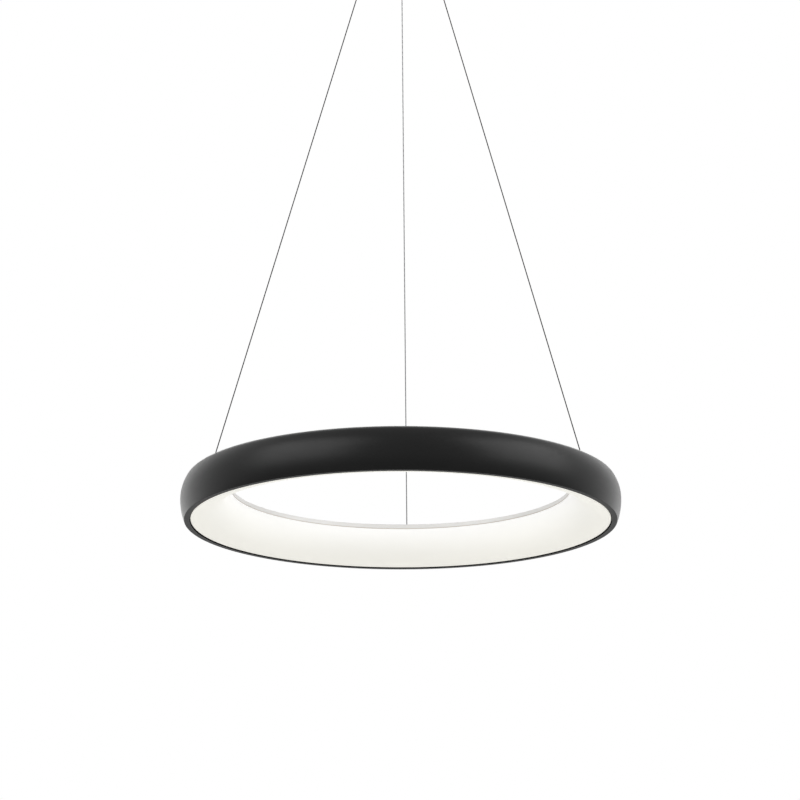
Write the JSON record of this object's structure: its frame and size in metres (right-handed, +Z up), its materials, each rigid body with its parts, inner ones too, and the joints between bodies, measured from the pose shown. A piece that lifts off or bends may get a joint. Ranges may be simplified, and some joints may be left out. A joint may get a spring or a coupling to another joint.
{
  "type": "led ring chandelier",
  "caption": "Round LED pendant ring with a matt black shell and an opal diffuser facing its open middle, hung on thin steel wires from a small round canopy with wire grippers.",
  "frame": {"origin": "centre of the canopy's mounting plate, on the ceiling's surface", "axes": "+Z up to the ceiling; the ring hangs below on -Z; +Y towards the rear wire, +X to the right"},
  "size_m": [0.61, 0.61, 0.874],
  "materials": {
    "black_shell": "matte",
    "black_cover": "matte",
    "opal_diffuser": "satin",
    "pale_trim": "matte",
    "bare_aluminium": "satin",
    "white_strip": "satin",
    "led_phosphor": "satin",
    "spring_steel": "satin",
    "black_screw": "satin",
    "zinc_screw": "satin",
    "black_nylon": "satin",
    "nickel_crimp": "satin",
    "brass_tab": "satin",
    "black_canopy": "matte",
    "zinc_plate": "satin",
    "black_rubber": "matte",
    "white_plastic": "matte",
    "circuit_board": "satin",
    "coil_wrap": "satin",
    "white_nylon": "satin",
    "nickel_fitting": "satin",
    "steel_wire": "satin"
  },
  "bodies": {
    "canopy": {"canopy_cup": "black_canopy", "ceiling_plate": "zinc_plate", "cable_grommet": "black_rubber", "canopy_knobs": "black_screw", "driver_case": "white_plastic", "driver_lid": "white_plastic", "driver_board": "circuit_board", "driver_coil": "coil_wrap", "terminal_block": "white_nylon", "terminal_screws": "zinc_screw", "cable_clamp": "white_nylon", "clamp_screws": "zinc_screw", "driver_screws": "zinc_screw", "earth_stud": "brass_tab", "earth_nut": "brass_tab", "gripper_caps": "nickel_fitting", "gripper_nuts": "nickel_fitting", "wire_stops": "nickel_crimp", "gripper_body_left": "nickel_fitting", "gripper_spring_left": "spring_steel", "suspension_wire_left": "steel_wire", "gripper_body_rear": "nickel_fitting", "gripper_spring_rear": "spring_steel", "suspension_wire_rear": "steel_wire", "gripper_body_right": "nickel_fitting", "gripper_spring_right": "spring_steel", "suspension_wire_right": "steel_wire"},
    "ring": {"ring_shell": "black_shell", "top_cover": "black_cover", "diffuser": "opal_diffuser", "lip_ring": "pale_trim", "led_carrier": "bare_aluminium", "led_strip": "white_strip", "led_chips": "led_phosphor", "diffuser_clips": "spring_steel", "cover_screws": "black_screw", "lip_screws": "zinc_screw", "anchor_bushes": "black_nylon", "anchor_washers": "black_nylon", "anchor_nuts": "zinc_screw", "wire_crimps": "nickel_crimp", "feed_tab_positive": "brass_tab", "feed_tab_negative": "brass_tab", "wire_anchor_left": "nickel_fitting", "wire_anchor_rear": "nickel_fitting", "wire_anchor_right": "nickel_fitting"},
    "release_button_left": {"gripper_plunger_left": "nickel_fitting", "gripper_balls_left": "nickel_crimp"},
    "release_button_rear": {"gripper_plunger_rear": "nickel_fitting", "gripper_balls_rear": "nickel_crimp"},
    "release_button_right": {"gripper_plunger_right": "nickel_fitting", "gripper_balls_right": "nickel_crimp"}
  },
  "joints": [
    {"name": "ring_lift", "type": "slide", "parent": "canopy", "child": "ring", "axis": [0, 0, 1], "range_m": [0, 0.4], "deforming": ["suspension_wire_left", "suspension_wire_rear", "suspension_wire_right"]},
    {"name": "release_left", "type": "slide", "parent": "canopy", "child": "release_button_left", "axis": [0, 0, 1], "range_m": [0, 0.002], "stiffness_N_per_m": 500, "springref_m": -0.002, "deforming": ["gripper_spring_left"]},
    {"name": "release_rear", "type": "slide", "parent": "canopy", "child": "release_button_rear", "axis": [0, 0, 1], "range_m": [0, 0.002], "stiffness_N_per_m": 500, "springref_m": -0.002, "deforming": ["gripper_spring_rear"]},
    {"name": "release_right", "type": "slide", "parent": "canopy", "child": "release_button_right", "axis": [0, 0, 1], "range_m": [0, 0.002], "stiffness_N_per_m": 500, "springref_m": -0.002, "deforming": ["gripper_spring_right"]}
  ]
}
